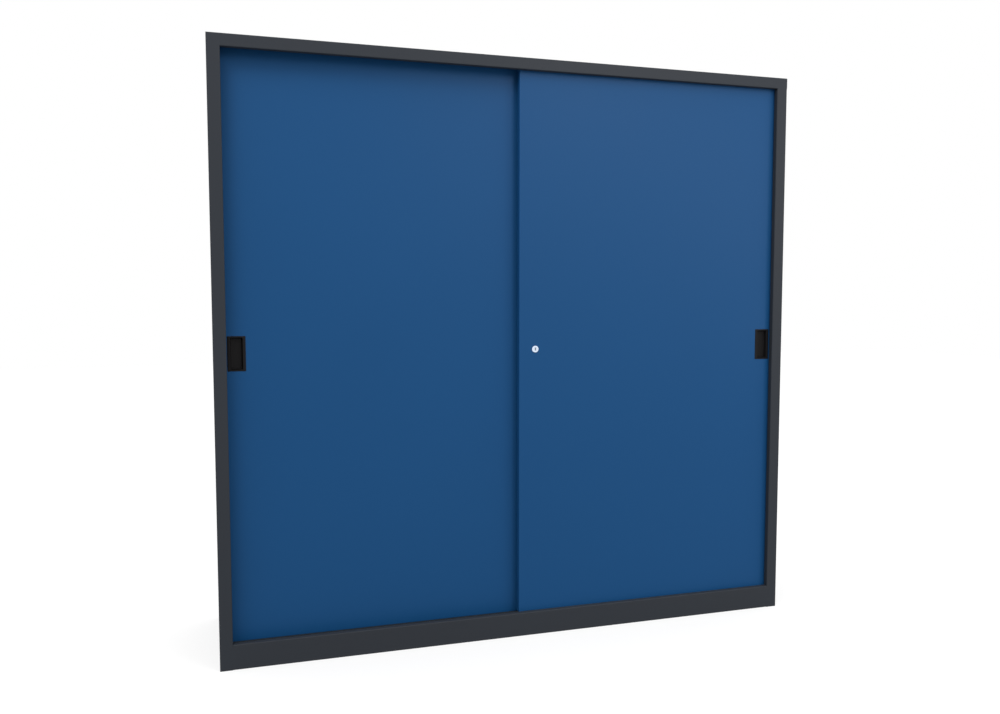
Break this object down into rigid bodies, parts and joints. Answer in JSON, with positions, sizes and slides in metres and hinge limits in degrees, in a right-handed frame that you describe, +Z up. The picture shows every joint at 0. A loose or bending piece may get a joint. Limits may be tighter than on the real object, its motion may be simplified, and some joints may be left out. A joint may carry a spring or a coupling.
{
  "type": "sliding door cabinet",
  "caption": "Wide sheet steel storage cabinet with sliding doors that roll past each other, recessed finger pulls, a key lock, a partition and shelves.",
  "frame": {"origin": "floor level, middle of the cabinet's width and depth", "axes": "+X to the right seen from the front, +Y to the back, +Z up"},
  "size_m": [2, 0.5, 1.95],
  "materials": {
    "anthracite_paint": "fine matt powder coat",
    "blue_paint": "fine matt powder coat",
    "black_plastic": "fine grained moulding",
    "white_nylon": "natural, machined",
    "rubber": "moulded",
    "zinc_steel": "zinc plated",
    "chrome": "polished"
  },
  "bodies": {
    "carcass": {"side_panel_left": "anthracite_paint", "side_panel_right": "anthracite_paint", "top_panel": "anthracite_paint", "plinth": "anthracite_paint", "bottom_panel": "anthracite_paint", "rear_base_rail": "anthracite_paint", "back_panel_left": "anthracite_paint", "back_panel_right": "anthracite_paint", "centre_partition": "anthracite_paint", "top_track": "zinc_steel", "bottom_track": "anthracite_paint", "end_buffer_left": "rubber", "end_buffer_right": "rubber", "shelf_left_1": "anthracite_paint", "shelf_bearer_left_1_outer": "zinc_steel", "shelf_bearer_left_1_inner": "zinc_steel", "shelf_left_2": "anthracite_paint", "shelf_bearer_left_2_outer": "zinc_steel", "shelf_bearer_left_2_inner": "zinc_steel", "shelf_left_3": "anthracite_paint", "shelf_bearer_left_3_outer": "zinc_steel", "shelf_bearer_left_3_inner": "zinc_steel", "shelf_left_4": "anthracite_paint", "shelf_bearer_left_4_outer": "zinc_steel", "shelf_bearer_left_4_inner": "zinc_steel", "shelf_right_1": "anthracite_paint", "shelf_bearer_right_1_outer": "zinc_steel", "shelf_bearer_right_1_inner": "zinc_steel", "shelf_right_2": "anthracite_paint", "shelf_bearer_right_2_outer": "zinc_steel", "shelf_bearer_right_2_inner": "zinc_steel", "shelf_right_3": "anthracite_paint", "shelf_bearer_right_3_outer": "zinc_steel", "shelf_bearer_right_3_inner": "zinc_steel", "shelf_right_4": "anthracite_paint", "shelf_bearer_right_4_outer": "zinc_steel", "shelf_bearer_right_4_inner": "zinc_steel"},
    "right_door": {"door_panel_right": "blue_paint", "door_stiffener_right": "zinc_steel", "finger_pull_right": "black_plastic", "roller_housing_right_outer": "black_plastic", "top_guide_right_outer": "white_nylon", "roller_housing_right_inner": "black_plastic", "top_guide_right_inner": "white_nylon", "lock_housing": "chrome", "lock_nut": "zinc_steel"},
    "left_door": {"door_panel_left": "blue_paint", "door_stiffener_left": "zinc_steel", "finger_pull_left": "black_plastic", "roller_housing_left_outer": "black_plastic", "top_guide_left_outer": "white_nylon", "roller_housing_left_inner": "black_plastic", "top_guide_left_inner": "white_nylon", "lock_strike": "zinc_steel"},
    "roller_right_outer": {"roller_right_outer": "black_plastic"},
    "roller_right_inner": {"roller_right_inner": "black_plastic"},
    "roller_left_outer": {"roller_left_outer": "black_plastic"},
    "roller_left_inner": {"roller_left_inner": "black_plastic"},
    "lock_core": {"lock_core": "chrome"},
    "lock_bolt": {"lock_bolt": "zinc_steel"}
  },
  "joints": [
    {"name": "right_door_slide", "type": "slide", "parent": "carcass", "child": "right_door", "axis": [1, 0, 0], "range_m": [-0.9724, 0]},
    {"name": "left_door_slide", "type": "slide", "parent": "carcass", "child": "left_door", "axis": [1, 0, 0], "range_m": [0, 0.915]},
    {"name": "roller_right_outer_turn", "type": "hinge", "parent": "right_door", "child": "roller_right_outer", "pos_m": [0.865, -0.216, 0.0871], "axis": [0, 1, 0], "continuous": true},
    {"name": "roller_right_inner_turn", "type": "hinge", "parent": "right_door", "child": "roller_right_inner", "pos_m": [0.1074, -0.216, 0.0871], "axis": [0, 1, 0], "continuous": true},
    {"name": "roller_left_outer_turn", "type": "hinge", "parent": "left_door", "child": "roller_left_outer", "pos_m": [-0.865, -0.183, 0.0871], "axis": [0, 1, 0], "continuous": true},
    {"name": "roller_left_inner_turn", "type": "hinge", "parent": "left_door", "child": "roller_left_inner", "pos_m": [-0.05, -0.183, 0.0871], "axis": [0, 1, 0], "continuous": true},
    {"name": "lock_core_turn", "type": "hinge", "parent": "right_door", "child": "lock_core", "pos_m": [0.0445, -0.228, 0.987], "axis": [0, 1, 0], "range_deg": [0, 90]},
    {"name": "lock_bolt_slide", "type": "slide", "parent": "right_door", "child": "lock_bolt", "axis": [0, 1, 0], "range_m": [0, 0.0075]}
  ],
  "couplings": [
    {"joint": "roller_right_outer_turn", "follows": "right_door_slide", "rad_per_m": 111.11},
    {"joint": "roller_right_inner_turn", "follows": "right_door_slide", "rad_per_m": 111.11},
    {"joint": "roller_left_outer_turn", "follows": "left_door_slide", "rad_per_m": 111.11},
    {"joint": "roller_left_inner_turn", "follows": "left_door_slide", "rad_per_m": 111.11},
    {"joint": "lock_bolt_slide", "follows": "lock_core_turn", "m_per_rad": 0.0047746}
  ]
}
